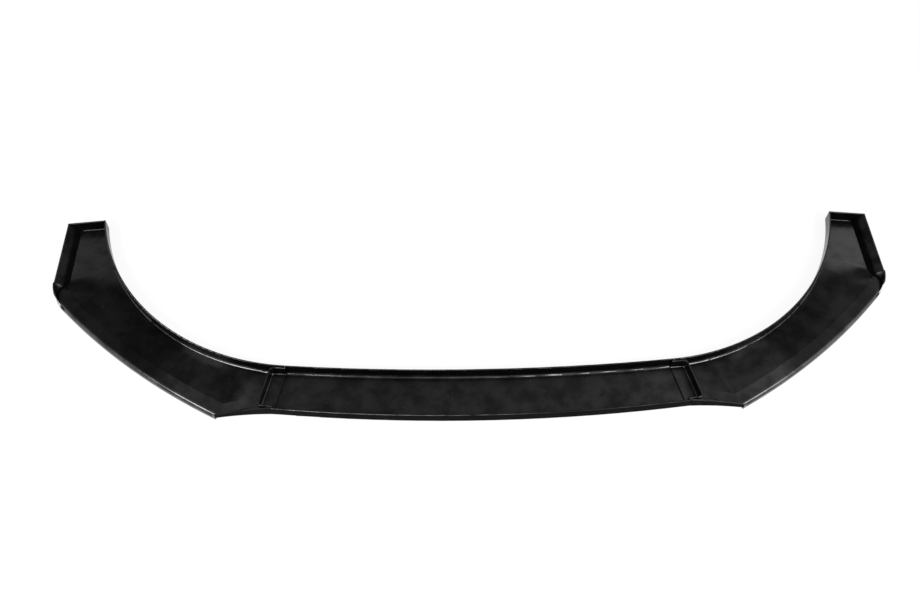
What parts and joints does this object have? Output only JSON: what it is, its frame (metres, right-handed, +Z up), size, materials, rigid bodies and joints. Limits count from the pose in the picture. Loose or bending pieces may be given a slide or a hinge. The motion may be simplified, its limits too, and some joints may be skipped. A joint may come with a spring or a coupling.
{
  "type": "front splitter lip",
  "caption": "Black moulded front bumper lip: an open centre tray nested into swept side sections, each with a walled pocket at its rear end.",
  "frame": {"origin": "on the ground under the middle of the lip's overall box", "axes": "+X across the car along the lip, front edge towards -Y, +Z up out of the open side"},
  "size_m": [1.756, 0.4929, 0.028],
  "materials": {
    "satin_black": "satin gloss moulded black"
  },
  "bodies": {
    "root": {"centre_section": "satin_black", "left_section": "satin_black", "right_section": "satin_black"}
  },
  "joints": []
}
